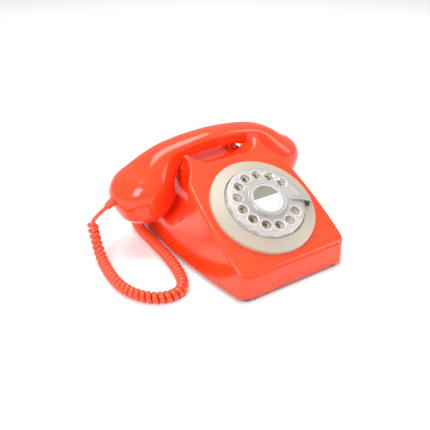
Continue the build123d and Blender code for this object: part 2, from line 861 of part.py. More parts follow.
def handle_solid():
    """Arched bar between the two ends, waisted in the middle."""
    end = cap_centre_x + handle_end_reach
    drop = handle_arch_drop * (end / handle_arch_span) ** 2
    top = ThreePointArc((-end, handle_top - drop), (0, handle_top), (end, handle_top - drop))
    knee = 41.0
    side = [
        top,
        Line((end, handle_top - drop), (end + 9, handle_top - drop - 11)),
        Line((end + 9, handle_top - drop - 11), (end - 10, 68.0)),
        Line((end - 10, 68.0), (knee + 13, 77.0)),
        Line((knee + 13, 77.0), (knee, handle_bottom - 0.6)),
        ThreePointArc((knee, handle_bottom - 0.6), (0, handle_bottom + 0.4), (-knee, handle_bottom - 0.6)),
        Line((-knee, handle_bottom - 0.6), (-knee - 13, 77.0)),
        Line((-knee - 13, 77.0), (-end + 10, 68.0)),
        Line((-end + 10, 68.0), (-end - 9, handle_top - drop - 11)),
        Line((-end - 9, handle_top - drop - 11), (-end, handle_top - drop)),
    ]
    profile = extrude(Plane.XZ * make_face(Curve() + side), amount=30, both=True)
    span = end + 10
    m, w = handle_half_width, handle_end_half_width
    plan = [
        ThreePointArc((-span, -w), (0, -m), (span, -w)),
        Line((span, -w), (span, w)),
        ThreePointArc((span, w), (0, m), (-span, w)),
        Line((-span, w), (-span, -w)),
    ]
    bar = profile & extrude(make_face(Curve() + plan), amount=200)
    long_edges = bar.edges().filter_by(lambda e: e.length > 60)
    top_edges = long_edges.sort_by(Axis.Z)[-2:]
    bar = fillet(top_edges, radius=handle_edge_radius)
    return Pos(0, handset_y, 0) * bar


def handset_shell():
    """Handle and both hollow ends, moulded as one."""
    body = handle_solid()
    for side in (-1, 1):
        body += ear_plane(side) * ear_shell(0, cap_height)
    for side in (-1, 1):
        body -= ear_plane(side) * ear_shell(ear_wall, cap_height - 0.01)
    return body


def cap(side, rings):
    """Screw-on cap with its sound holes and a skirt inside the shell."""
    rim = cap_rim_radius
    skirt = rim - ear_wall - fit_gap
    skirt_inside = rim - ear_wall - 2.2
    outer = turned([
        (0, 0), (cap_face_radius - 1.5, 0), (cap_face_radius, 1.0), (rim, cap_height - 0.8), (rim, cap_height),
        (skirt, cap_height), (skirt, cap_height + 6.0), (skirt_inside, cap_height + 6.0),
        (skirt_inside, cap_height - 1.0), (cap_face_radius - cap_wall, cap_wall), (0, cap_wall),
    ])
    for radius, count in rings:
        for i in range(count):
            angle = 2 * pi * i / count
            outer -= rod(1.1, -1, cap_wall + 1, radius * cos(angle), radius * sin(angle))
    return ear_plane(side) * outer


def capsule(side):
    """Round transducer that the cap holds against the shell."""
    low = cap_wall + rest_gap
    r = capsule_radius
    drum = turned([
        (0, low), (r - 1, low), (r - 1, low + 2), (r, low + 2), (r, low + 5), (r - 4, low + 5),
        (r - 4, low + capsule_height), (0, low + capsule_height),
    ])
    return ear_plane(side) * drum


# ---------------------------------------------------------------------------------------
# Cord
# ---------------------------------------------------------------------------------------

def in_row_frame(points):
    """Route points with Y measured in the part's frame."""
    return [Vector(x, from_front(y), z) for x, y, z in points]


def cord_path(points):
    """Straight runs joined by the largest tangent arcs that they allow."""
    radii = []
    for before, here, after in zip(points, points[1:], points[2:]):
        turn = (here - before).get_angle(after - here)
        run = min((here - before).length, (after - here).length)
        radii.append(0.45 * run / tan(radians(turn / 2)))
    print("cord radii:", [round(r, 1) for r in radii])
    return FilletPolyline(*points, radius=radii)


def cord_tube(points, diameter):
    """Round tube along the path, with its volume set against section times length."""
    path = cord_path(in_row_frame(points))
    section = Plane(origin=path @ 0, z_dir=path % 0) * Circle(diameter / 2)
    body = sweep(section, path=path)
    ratio = body.volume / (pi * diameter**2 / 4 * path.length)
    print("cord volume ratio:", round(ratio, 4), "length", round(path.length, 1))
    return body


def tapered(start, end, start_radius, end_radius):
    """Cone frustum between two points."""
    a, b = Vector(*start), Vector(*end)
    axis = b - a
    plane = Plane(origin=a, z_dir=axis)
    return plane * turned([(0, 0), (start_radius, 0), (end_radius, axis.length), (0, axis.length)])


def strain_relief():
    """Ribbed sleeve where the cord leaves the mouthpiece end."""
    a, b = in_row_frame([relief_start, relief_end])
    sleeve = tapered(a, b, relief_root_radius, relief_tip_radius)
    length = (b - a).length
    plane = Plane(origin=a, z_dir=b - a)
    ribs = 4
    for i in range(ribs):
        at = length * (0.42 + 0.13 * i)
        sleeve -= plane * tube(8.0, relief_tip_radius - 0.4, at, at + 0.8)
    return sleeve - ear_plane(-1) * ear_shell(0, cap_height)


def cord_gland():
    """Grommet in the back of the case where the handset cord enters."""
    rear = from_front(case_depth)
    a = (gland_x, rear - 5.0, gland_height)
    b = Vector(gland_x, rear + 3.0, gland_height)
    tip = in_row_frame([gland_tip])[0]
    return tapered(a, b, gland_radius, gland_radius) + tapered(b, tip, gland_radius, 3.0)


save(upper_housing(), "upper_housing")
save(base_plate(), "base_plate")
save(rubber_feet(), "rubber_feet")
save(base_screws(), "base_screws")
dial_parts = {
    "dial_bezel": dial_bezel(),
    "number_plate": number_plate(),
    "dial_frame": dial_frame(),
    "spindle_bush": spindle_bush(),
    "dial_posts": dial_posts(),
    "gear_plate": gear_plate(),
    "governor_housing": governor_housing(),
    "pulse_contacts": pulse_contacts(),
    "mainspring": mainspring(),
    "finger_stop": finger_stop(),
    "finger_wheel": finger_wheel(),
    "hub_ring": hub_ring(),
    "number_card": number_card(),
    "card_cover": card_cover(),
    "main_spindle": main_spindle(),
    "main_gear": main_gear(),
    "pulse_cam": pulse_cam(),
    "idler_gear": idler_gear(),
    "governor_rotor": governor_rotor(),
}
for name, shape in dial_parts.items():
    save(dial_plane * shape, name)
save(cradle_plunger(-1), "cradle_plunger_left")
save(cradle_plunger(1), "cradle_plunger_right")
save(plunger_bridge(), "plunger_bridge")
save(plunger_springs(), "plunger_springs")
save(hook_switch(), "hook_switch")
save(gong(-1), "gong_left")
save(gong(1), "gong_right")
save(gong_screws(), "gong_screws")
save(clapper(), "clapper")
save(ringer_yoke(), "ringer_yoke")
save(ringer_coils(), "ringer_coils")
save(circuit_board(), "circuit_board")
save(board_posts(), "board_posts")
save(board_components(), "board_components")
save(line_jack(), "line_jack")
save(handset_shell(), "handset_shell")
save(cap(1, [(0.0, 1), (8.0, 6), (15.0, 12)]), "earpiece_cap")
save(cap(-1, [(0.0, 1), (7.0, 6), (13.0, 12), (18.5, 18)]), "mouthpiece_cap")
save(capsule(1), "receiver_capsule")
save(capsule(-1), "microphone_capsule")
save(strain_relief(), "strain_relief")
save(cord_tube(handset_lead_points, wire_diameter), "handset_lead")
save(cord_tube(coil_points, coil_diameter), "curly_cord")
save(cord_tube(base_lead_points, wire_diameter), "base_lead")
save(cord_gland(), "cord_gland")
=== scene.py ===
# %% [markdown]
# # A desk telephone with a rotary dial
# The working frame comes first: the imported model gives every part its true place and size.
# Each later cell adds one visible piece or one finish to it, and nothing in the frame moves.

# %% Load the frame
import json
import math

import bpy
import numpy as np
from mathutils import Matrix, Vector


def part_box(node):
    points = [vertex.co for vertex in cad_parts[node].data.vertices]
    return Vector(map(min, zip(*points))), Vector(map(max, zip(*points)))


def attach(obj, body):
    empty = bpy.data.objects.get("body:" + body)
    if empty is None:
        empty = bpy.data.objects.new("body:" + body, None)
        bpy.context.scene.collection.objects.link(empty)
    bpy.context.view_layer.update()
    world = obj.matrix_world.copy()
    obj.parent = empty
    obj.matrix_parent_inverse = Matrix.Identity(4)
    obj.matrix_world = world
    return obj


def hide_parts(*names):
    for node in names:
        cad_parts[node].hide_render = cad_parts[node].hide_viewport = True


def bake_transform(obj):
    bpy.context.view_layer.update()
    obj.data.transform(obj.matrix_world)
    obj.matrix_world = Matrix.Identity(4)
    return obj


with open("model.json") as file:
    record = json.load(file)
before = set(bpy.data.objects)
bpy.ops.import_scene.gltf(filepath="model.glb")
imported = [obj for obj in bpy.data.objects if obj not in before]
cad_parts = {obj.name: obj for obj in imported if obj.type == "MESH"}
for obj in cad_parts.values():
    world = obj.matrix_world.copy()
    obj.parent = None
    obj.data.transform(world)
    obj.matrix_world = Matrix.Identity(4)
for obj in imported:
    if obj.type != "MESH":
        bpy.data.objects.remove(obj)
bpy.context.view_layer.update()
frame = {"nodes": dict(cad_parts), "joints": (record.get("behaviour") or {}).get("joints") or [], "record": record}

# %% [markdown]
# ## Camera
# A product shot like this one is taken a little above the desk, from the left of the dial.
# The camera is set by the two angles it looks along and by the point it looks at.

# %% Camera
look_at = Vector((-0.00932, 0.02066, 0.02063))
camera_distance = 0.7
camera_turn = math.radians(-33.89)
camera_tilt = math.radians(29.52)
sensor_width = 36.0
focal_length = 54.69

camera_data = bpy.data.cameras.new("camera")
camera_data.sensor_width = sensor_width
camera_data.lens = focal_length
camera = bpy.data.objects.new("camera", camera_data)
back = Vector((
    math.sin(camera_turn) * math.cos(camera_tilt),
    -math.cos(camera_turn) * math.cos(camera_tilt),
    math.sin(camera_tilt),
))
camera.location = look_at + camera_distance * back
camera.rotation_euler = (math.pi / 2 - camera_tilt, 0.0, camera_turn)
bpy.context.scene.collection.objects.link(camera)
bpy.context.scene.camera = camera
print("camera at", [round(v, 4) for v in camera.location])

# %% [markdown]
# ## Working helpers
# Sizes are written in millimetres and turned into metres by one factor. A finished mesh gets
# its material and its body in one call, so that no step is forgotten.

# %% Helpers
mm = 0.001


def mesh_object(name, points, faces, smooth=True):
    """New object at the origin from points in metres."""
    mesh = bpy.data.meshes.new(name)
    mesh.from_pydata([tuple(p) for p in points], [], [tuple(f) for f in faces])
    mesh.update()
    if smooth:
        mesh.shade_smooth()
    obj = bpy.data.objects.new(name, mesh)
    bpy.context.scene.collection.objects.link(obj)
    return obj


def settle(obj, body, material):
    """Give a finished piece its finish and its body."""
    obj.data.materials.clear()
    obj.data.materials.append(material)
    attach(obj, body)
    print(f"{obj.name}: {len(obj.data.polygons)} faces on {body}")
    return obj


# %% [markdown]
# ## Shared effects
# Moulded plastic is never optically flat: it has a faint ripple from the mould and a little dust on
# what faces up, and its edges get a painted highlight, a lighter colour where they would catch light.
# Each effect is a node group with named inputs, so every finish below can use it in its own amount.

# %% Node group helpers
def new_group(name, inputs, outputs):
    """Empty shader group with float or colour sockets."""
    group = bpy.data.node_groups.new(name, "ShaderNodeTree")
    for label, kind, value in inputs:
        socket = group.interface.new_socket(label, in_out="INPUT", socket_type=kind)
        socket.default_value = value
    for label, kind in outputs:
        group.interface.new_socket(label, in_out="OUTPUT", socket_type=kind)
    start = group.nodes.new("NodeGroupInput")
    end = group.nodes.new("NodeGroupOutput")
    return group, start, end


def math_node(tree, operation, a, b=None, clamp=False):
    """Math node whose inputs are sockets or numbers."""
    node = tree.nodes.new("ShaderNodeMath")
    node.operation = operation
    node.use_clamp = clamp
    for index, value in enumerate((a, b)):
        if value is None:
            continue
        if isinstance(value, (int, float)):
            node.inputs[index].default_value = value
        else:
            tree.links.new(value, node.inputs[index])
    return node.outputs[0]


# %% Mould ripple, painted edge highlight and dust
def make_ripple():
    """Fine surface height of a moulded or pressed face."""
    group, start, end = new_group(
        "mould_ripple",
        [("Scale", "NodeSocketFloat", 400.0), ("Fine Share", "NodeSocketFloat", 0.4)],
        [("Height", "NodeSocketFloat")],
    )
    place = group.nodes.new("ShaderNodeTexCoord")
    broad = group.nodes.new("ShaderNodeTexNoise")
    fine = group.nodes.new("ShaderNodeTexNoise")
    for noise in (broad, fine):
        noise.inputs["Detail"].default_value = 3.0
        group.links.new(place.outputs["Object"], noise.inputs["Vector"])
    group.links.new(start.outputs["Scale"], broad.inputs["Scale"])
    group.links.new(math_node(group, "MULTIPLY", start.outputs["Scale"], 6.0), fine.inputs["Scale"])
    share = math_node(group, "MULTIPLY", fine.outputs[0], start.outputs["Fine Share"])
    group.links.new(math_node(group, "ADD", broad.outputs[0], share), end.inputs["Height"])
    return group


def make_edge_mask():
    """1 on an outer edge and 0 on a flat, found by comparing a rounded normal with the true one."""
    # This mask places the painted edge highlight: finishes lighten their colour where it is 1.
    group, start, end = new_group(
        "painted_edge_highlight",
        [("Radius", "NodeSocketFloat", 0.001), ("Strength", "NodeSocketFloat", 4.0)],
        [("Mask", "NodeSocketFloat")],
    )
    bevel = group.nodes.new("ShaderNodeBevel")
    bevel.samples = 4
    geometry = group.nodes.new("ShaderNodeNewGeometry")
    dot = group.nodes.new("ShaderNodeVectorMath")
    dot.operation = "DOT_PRODUCT"
    group.links.new(start.outputs["Radius"], bevel.inputs["Radius"])
    group.links.new(bevel.outputs[0], dot.inputs[0])
    group.links.new(geometry.outputs["Normal"], dot.inputs[1])
    away = math_node(group, "SUBTRACT", 1.0, dot.outputs["Value"])
    mask = math_node(group, "MULTIPLY", away, start.outputs["Strength"], clamp=True)
    group.links.new(mask, end.inputs["Mask"])
    return group


def make_dust():
    """Patchy mask of the dust that settles on what faces up."""
    group, start, end = new_group(
        "settled_dust",
        [("Amount", "NodeSocketFloat", 0.1), ("Patch Scale", "NodeSocketFloat", 60.0)],
        [("Mask", "NodeSocketFloat")],
    )
    place = group.nodes.new("ShaderNodeTexCoord")
    geometry = group.nodes.new("ShaderNodeNewGeometry")
    split = group.nodes.new("ShaderNodeSeparateXYZ")
    noise = group.nodes.new("ShaderNodeTexNoise")
    noise.inputs["Detail"].default_value = 6.0
    noise.inputs["Roughness"].default_value = 0.65
    group.links.new(place.outputs["Object"], noise.inputs["Vector"])
    group.links.new(start.outputs["Patch Scale"], noise.inputs["Scale"])
    group.links.new(geometry.outputs["Normal"], split.inputs[0])
    up = math_node(group, "MAXIMUM", split.outputs["Z"], 0.0)
    patches = math_node(group, "POWER", noise.outputs[0], 2.0)
    both = math_node(group, "MULTIPLY", up, patches)
    mask = math_node(group, "MULTIPLY", both, start.outputs["Amount"], clamp=True)
    group.links.new(mask, end.inputs["Mask"])
    return group


mould_ripple = make_ripple()
# Mask of the painted highlight that every finish lays on its edges.
painted_edge_highlight = make_edge_mask()
settled_dust = make_dust()
print("effects:", mould_ripple.name, painted_edge_highlight.name, settled_dust.name)


# %% [markdown]
# ## Finishes
# One function lays out the nodes that all finishes share. The numbers that are the same all
# over a piece are set on the shader itself, and only what varies comes through nodes.

# %% Finish builder
def mix_colour(tree, factor, a, b):
    """Mix node between two colours; each is a socket or a tuple."""
    node = tree.nodes.new("ShaderNodeMix")
    node.data_type = "RGBA"
    tree.links.new(factor, node.inputs["Factor"])
    for key, value in ((6, a), (7, b)):
        if isinstance(value, tuple):
            node.inputs[key].default_value = (*value, 1.0)
        else:
            tree.links.new(value, node.inputs[key])
    return node.outputs[2]


def place_group(tree, group, **values):
    """One use of a shared effect, with its own input values."""
    node = tree.nodes.new("ShaderNodeGroup")
    node.node_tree = group
    for label, value in values.items():
        node.inputs[label.replace("_", " ")].default_value = value
    return node


colour_drift = 0.04
roughness_drift = 0.06
# Share by which edges are lightened towards white: a painted highlight.
edge_radius = 0.8 * mm
edge_highlight_lift = 0.0875
dust_colour = (0.62, 0.60, 0.57)


def finish(name, colour, roughness, *, ripple=400.0, depth=0.02, dust=0.12, metallic=0.0, coat=0.0,
           transmission=0.0, ior=1.5):
    """Finish with a mould ripple, a painted highlight on the edges, dust and a slight drift of colour."""
    material = bpy.data.materials.new(name)
    material.use_nodes = True
    tree = material.node_tree
    shader = tree.nodes["Principled BSDF"]
    shader.inputs["Metallic"].default_value = metallic
    shader.inputs["Coat Weight"].default_value = coat
    shader.inputs["Coat Roughness"].default_value = 0.06
    shader.inputs["Transmission Weight"].default_value = transmission
    shader.inputs["IOR"].default_value = ior
    place = tree.nodes.new("ShaderNodeTexCoord")
    drift = tree.nodes.new("ShaderNodeTexNoise")
    drift.inputs["Scale"].default_value = 22.0
    drift.inputs["Detail"].default_value = 4.0
    tree.links.new(place.outputs["Object"], drift.inputs["Vector"])
    darker = tuple(c * (1 - colour_drift) for c in colour)
    lighter = tuple(min(1.0, c * (1 + colour_drift)) for c in colour)
    base = mix_colour(tree, drift.outputs[0], darker, lighter)
    # Painted highlight: the colour is lifted towards white on the edges.
    edge_highlight = place_group(tree, painted_edge_highlight, Radius=edge_radius)
    highlight_colour = tuple(c + edge_highlight_lift * (1 - c) for c in colour)
    lifted = mix_colour(tree, edge_highlight.outputs["Mask"], base, highlight_colour)
    dusty = place_group(tree, settled_dust, Amount=dust)
    dulled = mix_colour(tree, dusty.outputs["Mask"], lifted, dust_colour)
    tree.links.new(dulled, shader.inputs["Base Color"])
    rough = math_node(tree, "MULTIPLY_ADD", drift.outputs[0], roughness_drift)
    rough.node.inputs[2].default_value = roughness - roughness_drift / 2
    dust_share = math_node(tree, "MULTIPLY", dusty.outputs["Mask"], 0.5)
    rougher = math_node(tree, "ADD", rough, dust_share, clamp=True)
    tree.links.new(rougher, shader.inputs["Roughness"])
    wave = place_group(tree, mould_ripple, Scale=ripple)
    bump = tree.nodes.new("ShaderNodeBump")
    bump.inputs["Strength"].default_value = 1.0
    bump.inputs["Distance"].default_value = depth * mm
    tree.links.new(wave.outputs["Height"], bump.inputs["Height"])
    tree.links.new(bump.outputs[0], shader.inputs["Normal"])
    return material


# %% The finishes of this telephone
finishes = {
    "case_gloss": finish("coral_gloss", (0.92, 0.050, 0.008), 0.14, ripple=150.0, depth=0.012, dust=0.05),
    "cord_plastic": finish("coral_cord", (0.90, 0.066, 0.018), 0.34, ripple=500.0, depth=0.02, dust=0.06),
    "bezel_cream": finish("cream_bezel", (0.40, 0.35, 0.275), 0.36, ripple=900.0, depth=0.02),
    "wheel_clear": finish("clear_wheel", (0.88, 0.86, 0.87), 0.12, transmission=0.72, ior=1.47, dust=0.25),
    "card_paper": finish("card_paper", (0.92, 0.92, 0.90), 0.55, ripple=1500.0, depth=0.015),
    "stop_metal": finish("stop_satin", (0.42, 0.42, 0.41), 0.32, metallic=0.55, ripple=900.0),
    "steel": finish("plated_steel", (0.52, 0.52, 0.53), 0.30, metallic=1.0, ripple=1200.0),
    "brass": finish("brass", (0.70, 0.50, 0.21), 0.28, metallic=1.0, ripple=1100.0),
    "coil_copper": finish("lacquered_copper", (0.62, 0.26, 0.11), 0.32, metallic=0.9, coat=0.4,
                          ripple=2500.0, depth=0.08),
    "dial_metal": finish("cast_alloy", (0.58, 0.58, 0.59), 0.42, metallic=1.0, ripple=1600.0, depth=0.05),
    "inner_plastic": finish("dark_plastic", (0.055, 0.055, 0.06), 0.5, ripple=900.0, depth=0.04),
    "board_green": finish("board_green", (0.03, 0.20, 0.08), 0.38, ripple=1400.0, depth=0.03),
    "foot_rubber": finish("foot_rubber", (0.018, 0.018, 0.018), 0.75, ripple=1800.0, depth=0.05),
}
for part in frame["record"]["subparts"]:
    node = frame["nodes"].get(part.get("node"))
    if node is None:
        continue
    node.data.materials.clear()
    node.data.materials.append(finishes[part["material_slot"]])
print("finishes:", ", ".join(finishes))

# %% [markdown]
# ## The curly cord
# The cord is one wire: a straight lead out of the handset, a long spring-like coil that hangs to the
# desk, sweeps forward and comes back beside the case, and a lead into the case at the back.
# A screw modifier makes only straight coils, so here the middle line is a smooth spline steered
# by given points, and the wire winds round it by a rule. Its own length is measured,
# because a curly cord is much longer than it looks.

# %% Route of the cord
case_low, case_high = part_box("upper_housing")
wire_radius = 2.1 * mm
coil_radius = 3.7 * mm
coil_level = 6.0
lead_points = [(-121.6, 150.0, 53.2), (-136.6, 149.9, 45.2), (-138.4, 149.8, 38.0)]
coil_points = [
    (-138.2, 149.6, 34.0), (-138.0, 146.0, 22.0), (-138.6, 138.5, 11.5), (-140.2, 126.5, 6.6),
    (-142.4, 112.0, coil_level), (-143.8, 98.0, coil_level), (-143.6, 84.0, coil_level),
    (-140.8, 70.5, coil_level), (-134.8, 58.5, coil_level), (-126.2, 49.0, coil_level),
    (-114.8, 43.6, coil_level), (-102.6, 44.6, coil_level), (-93.4, 52.6, coil_level),
    (-88.2, 66.0, coil_level), (-84.0, 84.0, coil_level), (-81.4, 106.0, coil_level),
    (-80.2, 128.0, coil_level), (-79.4, 150.0, coil_level), (-77.4, 170.0, coil_level),
    (-73.6, 186.0, coil_level),
]
base_points = [
    (-70.4, 199.0, 6.4), (-67.6, 212.0, 7.4), (-62.4, 223.0, 8.8), (-54.4, 231.0, 10.8),
    (-44.6, 232.6, 12.6), (-44.0, 224.0, 13.0),
]


def from_front(points):
    """Route points in metres, with their distance measured from the front of the case."""
    return [Vector((x * mm, case_low.y + y * mm, z * mm)) for x, y, z in points]


def smooth_line(points, resolution=40):
    """Points of a smooth spline with the given control points."""
    data = bpy.data.curves.new("route", "CURVE")
    data.dimensions = "3D"
    data.resolution_u = resolution
    spline = data.splines.new("NURBS")
    spline.points.add(len(points) - 1)
    for point, place in zip(spline.points, points):
        point.co = (*place, 1.0)
    spline.order_u = 3
    spline.use_endpoint_u = True
    route = bpy.data.objects.new("route", data)
    bpy.context.scene.collection.objects.link(route)
    bpy.context.view_layer.update()
    line = bpy.data.meshes.new_from_object(route)
    found = np.array([v.co for v in line.vertices])
    bpy.data.meshes.remove(line)
    bpy.data.objects.remove(route)
    return found


def along(line):
    """Distance from the start of a line to each of its points."""
    steps = np.linalg.norm(np.diff(line, axis=0), axis=1)
    return np.concatenate([[0.0], np.cumsum(steps)])


route = smooth_line(from_front(lead_points + coil_points + base_points))
route_at = along(route)
print("route", len(route), "points,", round(route_at[-1] * 1000, 1), "mm")

# %% Wind the wire round the route
turn_pitch = 5.7 * mm
points_per_turn = 16
lead_stretch = 2.6 * mm
coil_early = 7.0 * mm


def nearest_distance(line, at, place):
    """Distance along a line of its point nearest to a place."""
    return at[np.argmin(np.linalg.norm(line - np.array(place), axis=1))]


def carried_frames(line):
    """Two side directions at each point, carried along without twisting."""
    ahead = np.gradient(line, axis=0)
    ahead /= np.linalg.norm(ahead, axis=1)[:, None]
    side = np.cross(ahead[0], [0.0, 1.0, 0.0])
    sides = []
    for direction in ahead:
        side = side - direction * side.dot(direction)
        side /= np.linalg.norm(side)
        sides.append(side)
    sides = np.array(sides)
    return ahead, sides, np.cross(ahead, sides)


coil_start = nearest_distance(route, route_at, from_front(coil_points[:1])[0]) - coil_early
coil_end = nearest_distance(route, route_at, from_front(coil_points[-1:])[0])
fine_step = turn_pitch / points_per_turn / 2
distance = np.arange(0.0, route_at[-1], fine_step)
centre = np.stack([np.interp(distance, route_at, route[:, k]) for k in range(3)], axis=1)
ahead, across, upward = carried_frames(centre)
rise = np.clip((distance - coil_start) / lead_stretch, 0, 1)
fall = np.clip((coil_end - distance) / lead_stretch, 0, 1)
share = np.minimum(rise, fall)
share = share * share * (3 - 2 * share)
inside_coil = (distance > coil_start) & (distance < coil_end)
phase = np.cumsum(inside_coil * fine_step / turn_pitch) * 2 * math.pi
wire = centre + coil_radius * share[:, None] * (
    np.cos(phase)[:, None] * across + np.sin(phase)[:, None] * upward)
turns = phase[-1] / (2 * math.pi)
wire_at = along(wire)
wire_length = wire_at[-1]
print("turns", round(turns, 1), "wire length", round(wire_length, 3), "m")


# %% Skin the wire
def tube_mesh(name, line, radii, sides, core=None, flat=None):
    """Closed tube along a line, which flat widens along the core directions."""
    radii = np.broadcast_to(radii, len(line))
    _, one, two = carried_frames(line)
    angles = np.arange(sides) * 2 * math.pi / sides
    ring = np.cos(angles)[None, :, None] * one[:, None, :] + np.sin(angles)[None, :, None] * two[:, None, :]
    if core is not None:
        lengthwise = (ring * core[:, None, :]).sum(axis=2) * (flat[:, None] - 1)
        ring = ring + lengthwise[:, :, None] * core[:, None, :]
    points = (line[:, None, :] + ring * radii[:, None, None]).reshape(-1, 3)
    faces = []
    for i in range(len(line) - 1):
        for k in range(sides):
            a, b = i * sides + k, i * sides + (k + 1) % sides
            faces.append((a, b, b + sides, a + sides))
    last = (len(line) - 1) * sides
    faces.append(tuple(reversed(range(sides))))
    faces.append(tuple(range(last, last + sides)))
    return mesh_object(name, points, faces)


wire_sides = 10
wire_step = 0.9 * mm
steady = np.linspace(0.0, wire_length, int(wire_length / wire_step))
wire_line = np.stack([np.interp(steady, wire_at, wire[:, k]) for k in range(3)], axis=1)
coil_flattening = 0.26
core_line = np.stack([np.interp(steady, wire_at, ahead[:, k]) for k in range(3)], axis=1)
flatness = 1 + coil_flattening * np.interp(steady, wire_at, share)
handset_cord = tube_mesh("curly_handset_cord", wire_line, wire_radius, wire_sides, core_line, flatness)
handset_cord.data.materials.append(finishes["cord_plastic"])
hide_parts("curly_cord", "handset_lead", "base_lead")
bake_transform(handset_cord)
print("cord faces", len(handset_cord.data.polygons))


# %% [markdown]
# ## Moulded shapes from a distance formula
# The case and the handset are mouldings: flat and bowed faces meet in small round edges, and one
# form runs into the next with a soft fillet. Polygons with bevels break up where such fillets
# cross. Here each form is a function that says how far a point is from its surface. Rounded
# joins and cuts are then one line each. A grid of cells turns the zero level into quads, and
# a few steps along the slope put each corner exactly on the surface.

# %% Distance helpers
def round_cut(a, b, radius):
    """Where both forms are; the edge between them has this radius."""
    outside = np.hypot(np.maximum(a + radius, 0), np.maximum(b + radius, 0))
    return np.minimum(np.maximum(a, b), -radius) + outside


def round_join(a, b, radius):
    """Where either form is; the inner corner is filled with this radius."""
    return -round_cut(-a, -b, radius)


def rounded_box(u, v, half_u, half_v, radius):
    """Distance to a flat rectangle with round corners."""
    du, dv = np.abs(u) - half_u + radius, np.abs(v) - half_v + radius
    outside = np.hypot(np.maximum(du, 0), np.maximum(dv, 0))
    return outside + np.minimum(np.maximum(du, dv), 0) - radius


def slope_of(field, points, step=0.05 * mm):
    """Direction in which a field grows, from small differences."""
    parts = []
    for axis in range(3):
        shift = np.zeros(3)
        shift[axis] = step
        parts.append((field(points + shift) - field(points - shift)) / (2 * step))
    return np.stack(parts, axis=1)


def crossings(value, corner, step):
    """Mean point of the surface in each grid cell that it passes through."""
    shape = np.array(value.shape) - 1
    total = np.zeros((*shape, 3))
    count = np.zeros(shape)
    for axis in range(3):
        near = np.moveaxis(value, axis, 0)[:-1]
        far = np.moveaxis(value, axis, 0)[1:]
        i, j, k = np.nonzero((near < 0) != (far < 0))
        part = near[i, j, k] / (near[i, j, k] - far[i, j, k])
        other = [a for a in range(3) if a != axis]
        place = np.zeros((len(i), 3))
        place[:, axis] = i + part
        place[:, other[0]] = j
        place[:, other[1]] = k
        for dj in (0, 1):
            for dk in (0, 1):
                cell = np.zeros((len(i), 3), int)
                cell[:, axis] = i
                cell[:, other[0]] = j - dj
                cell[:, other[1]] = k - dk
                ok = np.all((cell >= 0) & (cell < shape), axis=1)
                np.add.at(total, tuple(cell[ok].T), place[ok])
                np.add.at(count, tuple(cell[ok].T), 1)
    used = count > 0
    points = corner + total[used] / count[used][:, None] * step
    index = np.full(shape, -1)
    index[used] = np.arange(used.sum())
    return points, index


def quads_between(value, index):
    """One quad round each grid edge that the surface crosses, facing outwards."""
    quads = []
    for axis in range(3):
        near = np.moveaxis(value, axis, 0)[:-1]
        far = np.moveaxis(value, axis, 0)[1:]
        cells = np.moveaxis(index, axis, 0)
        i, j, k = np.nonzero((near < 0) != (far < 0))
        ok = (j > 0) & (k > 0) & (j < cells.shape[1]) & (k < cells.shape[2])
        i, j, k = i[ok], j[ok], k[ok]
        around = (cells[i, j - 1, k - 1], cells[i, j, k - 1], cells[i, j, k], cells[i, j - 1, k])
        ring = np.stack(around, axis=1)
        flip = (near[i, j, k] < 0) == (axis == 1)
        ring[flip] = ring[flip][:, ::-1]
        quads.append(ring)
    return np.concatenate(quads)


def skin(name, field, low, high, step):
    """Closed mesh of the surface where a field is zero, with exact normals."""
    axes = [np.arange(low[a] - 2 * step, high[a] + 3 * step, step) for a in range(3)]
    corner = np.array([a[0] for a in axes])
    grid = np.stack(np.meshgrid(*axes, indexing="ij"), axis=-1)
    value = field(grid.reshape(-1, 3)).reshape(grid.shape[:3])
    points, index = crossings(value, corner, step)
    quads = quads_between(value, index)
    for _ in range(4):
        slope = slope_of(field, points)
        size = np.maximum((slope**2).sum(axis=1), 0.05)
        move = -(field(points) / size)[:, None] * slope
        points += np.clip(move, -step / 2, step / 2)
    slope = slope_of(field, points)
    slope /= np.linalg.norm(slope, axis=1)[:, None] + 1e-9
    obj = mesh_object(name, points, quads)
    obj.data.normals_split_custom_set_from_vertices([tuple(n) for n in slope])
    print(f"{name}: {len(points)} points, {len(quads)} quads")
    return obj


# %% [markdown]
# ## The case
# The case is a wedge with a sloping front for the dial, bowed sides, and a cradle cut across its
# top. Two hollows beside the cradle leave four horns that hold the handset. The wall is thin
# and the underside open, as a moulding's is. The whole shape follows a rule, so it is built
# from planes and curves, cut and joined with round edges.

# %% Sizes of the case
front_y = case_low.y
case_depth = case_high.y - case_low.y
case_bottom = case_low.z
horn_top = 98.8 * mm
case_wall = 2.6 * mm
half_widths_low = (62.4 * mm, 71.2 * mm, 61.0 * mm)
half_widths_high = (59.0 * mm, 55.5 * mm, 47.0 * mm)
width_top = 100.0 * mm
rear_lean = 23.0 * mm
chin_height = 28.2 * mm
panel_angle = math.radians(29.2)
rear_angle = math.radians(48.0)
handset_y = front_y + 150.0 * mm
horn_rear = front_y + 172.1 * mm
tower_half = 42.0 * mm
cradle_floor = 80.5 * mm
cradle_floor_drop = 2.0 * mm
seat_height = 90.2 * mm
seat_half_width = 15.3 * mm
seat_slope = 0.87
slot_base = 58.5 * mm
slot_slope = 0.325
pocket_half = (22.0 * mm, 26.0 * mm)
diagonal = 0.71


# %% The case as a distance
def side_distance(x, y, z):
    """Bowed sides with round corners, narrower towards the top."""
    up = (z - case_bottom) / (width_top - case_bottom)
    front, middle, rear = (low + (high - low) * up for low, high in zip(half_widths_low, half_widths_high))
    rear_y = front_y + case_depth - rear_lean * up
    share = (2 * (y - front_y) / (rear_y - front_y)) - 1
    half = middle + (rear - front) / 2 * share + ((front + rear) / 2 - middle) * share**2
    lean = math.cos(math.atan(rear_lean / (width_top - case_bottom)))
    body = round_cut(np.abs(x) - half, front_y - y, 8.8 * mm)
    return round_cut(body, (y - rear_y) * lean, 16.0 * mm)


